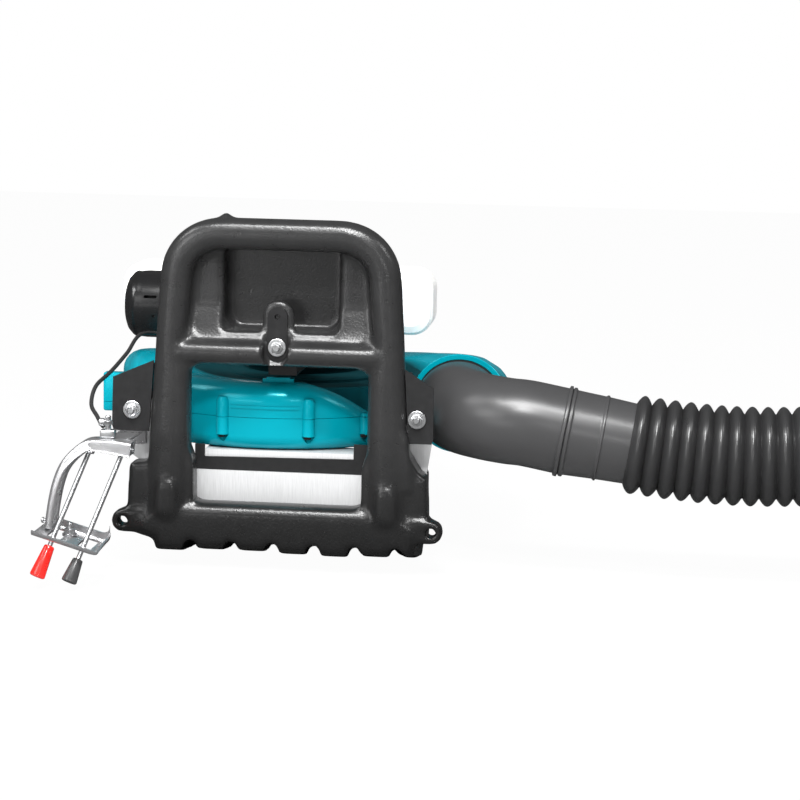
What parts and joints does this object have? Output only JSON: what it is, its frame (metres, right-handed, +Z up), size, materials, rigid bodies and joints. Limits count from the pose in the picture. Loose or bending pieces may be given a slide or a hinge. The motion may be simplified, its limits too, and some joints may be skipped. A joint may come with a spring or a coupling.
{
  "type": "backpack leaf blower",
  "caption": "Backpack leaf blower: moulded foot frame with back panel, scroll fan housing, two-stroke engine, ribbed outlet hose and hand levers.",
  "frame": {"origin": "on the resting face of the back panel, under the fan's axis", "axes": "+Z up from the back panel (away from the wearer's back), -Y towards the foot frame (down when worn), +X towards the outlet hose"},
  "size_m": [0.9621, 0.6432, 0.391],
  "materials": {
    "black_plastic": "satin",
    "hose_plastic": "gloss",
    "teal_plastic": "gloss",
    "tank_plastic": "satin",
    "red_plastic": "gloss",
    "rubber": "matte",
    "bright_steel": "satin",
    "cast_aluminium": "satin"
  },
  "bodies": {
    "chassis": {"frame": "black_plastic", "inlet_guard": "black_plastic", "starter_housing": "black_plastic", "air_cleaner_base": "black_plastic", "air_cleaner_cover": "black_plastic", "mount_plate_left": "black_plastic", "mount_plate_right": "black_plastic", "centre_tongue": "black_plastic", "fan_bracket": "black_plastic", "centre_strut": "black_plastic", "fan_housing_lower": "teal_plastic", "fan_housing_upper": "teal_plastic", "fuel_tank": "tank_plastic", "outlet_seal": "rubber", "damper_left": "rubber", "damper_right": "rubber", "damper_centre": "rubber", "plug_boot": "rubber", "intake_insulator": "rubber", "air_filter": "rubber", "throttle_cable": "rubber", "housing_screw_1": "bright_steel", "housing_screw_2": "bright_steel", "housing_screw_3": "bright_steel", "housing_screw_4": "bright_steel", "housing_screw_5": "bright_steel", "washer_left": "bright_steel", "washer_right": "bright_steel", "washer_centre": "bright_steel", "mount_bolt_left": "bright_steel", "mount_bolt_right": "bright_steel", "mount_bolt_centre": "bright_steel", "cradle": "bright_steel", "fan_shelf": "bright_steel", "pivot_pin": "bright_steel", "lower_bearing": "bright_steel", "upper_bearing": "bright_steel", "spark_plug": "bright_steel", "cable_post": "bright_steel", "crankcase": "cast_aluminium", "cylinder": "cast_aluminium", "muffler": "cast_aluminium", "carburettor": "cast_aluminium", "control_arm": "cast_aluminium", "lever_tray": "cast_aluminium"},
    "rotor": {"impeller": "black_plastic", "crankshaft": "bright_steel", "flywheel": "cast_aluminium"},
    "outlet": {"elbow": "hose_plastic", "hose": "hose_plastic", "hose_cuff": "hose_plastic"},
    "stop_control": {"stop_lever": "bright_steel", "stop_knob": "red_plastic"},
    "throttle_control": {"throttle_lever": "bright_steel", "throttle_knob": "black_plastic"},
    "cap": {"fuel_cap": "black_plastic"},
    "starter_pull": {"starter_handle": "rubber", "starter_rope": "rubber"}
  },
  "joints": [
    {"name": "rotor_spin", "type": "hinge", "parent": "chassis", "child": "rotor", "pos_m": [-0.009, 0, 0.166], "axis": [0, 0, 1], "continuous": true},
    {"name": "outlet_swivel", "type": "hinge", "parent": "chassis", "child": "outlet", "pos_m": [0.187, -0.122, 0.176], "axis": [0, -1, 0], "range_deg": [-12, 60]},
    {"name": "stop_lever_hinge", "type": "hinge", "parent": "chassis", "child": "stop_control", "pos_m": [-0.195, -0.31, 0.144], "axis": [1, 0, 0], "range_deg": [-6, 16]},
    {"name": "throttle_lever_hinge", "type": "hinge", "parent": "chassis", "child": "throttle_control", "pos_m": [-0.1585, -0.31, 0.144], "axis": [1, 0, 0], "range_deg": [-6, 16]},
    {"name": "fuel_cap_turn", "type": "hinge", "parent": "chassis", "child": "cap", "pos_m": [-0.07, 0.256, 0.27], "axis": [0, 1, 0], "continuous": true},
    {"name": "starter_pull", "type": "slide", "parent": "chassis", "child": "starter_pull", "axis": [1, 0, 0], "range_m": [0, 0.1], "stiffness_N_per_m": 60, "springref_m": -0.05}
  ]
}
